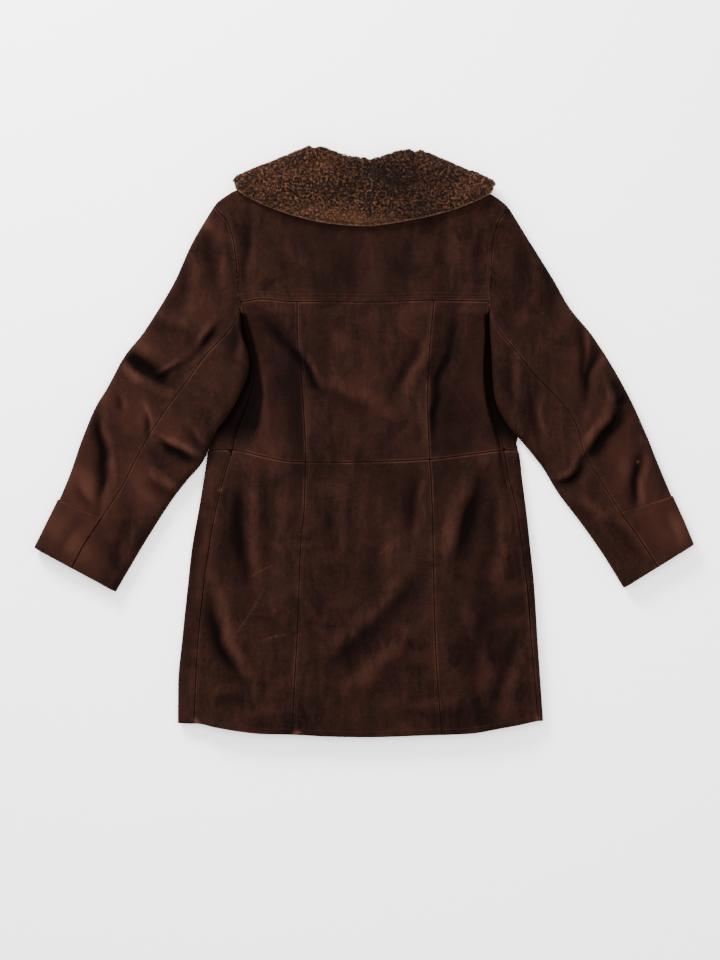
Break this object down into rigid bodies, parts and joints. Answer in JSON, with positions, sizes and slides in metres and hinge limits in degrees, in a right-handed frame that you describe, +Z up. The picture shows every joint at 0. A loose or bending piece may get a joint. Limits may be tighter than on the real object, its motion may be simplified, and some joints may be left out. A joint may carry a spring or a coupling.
{
  "type": "shearling coat",
  "caption": "Thigh-length shearling coat laid flat with its back up: suede side out, wide wool collar, back yoke, waist seam and two-piece sleeves.",
  "frame": {"origin": "centre of the bounding box in plan, at the surface that the coat lies on", "axes": "+Z up through the back, +Y towards the collar, +X towards the wearer's right sleeve"},
  "size_m": [1.058, 0.9388, 0.042],
  "materials": {
    "suede": "dark brown sheepskin suede, brushed nap, matt with a soft sheen",
    "wool": "clipped sheep's wool, short dense curls, brown with lighter tips",
    "button": "dark horn-like plastic, satin"
  },
  "bodies": {
    "root": {"back_yoke": "suede", "back_center_upper": "suede", "back_center_lower": "suede", "back_side_upper_left": "suede", "back_side_upper_right": "suede", "back_side_lower_left": "suede", "back_side_lower_right": "suede", "front_upper_left": "suede", "front_upper_right": "suede", "front_lower_left": "suede", "front_lower_right": "suede", "top_sleeve_left": "suede", "top_sleeve_right": "suede", "under_sleeve_left": "suede", "under_sleeve_right": "suede", "cuff_band_left": "suede", "cuff_band_right": "suede", "collar_left": "wool", "collar_right": "wool", "button_1": "button", "button_2": "button", "button_3": "button", "button_4": "button"}
  },
  "joints": []
}
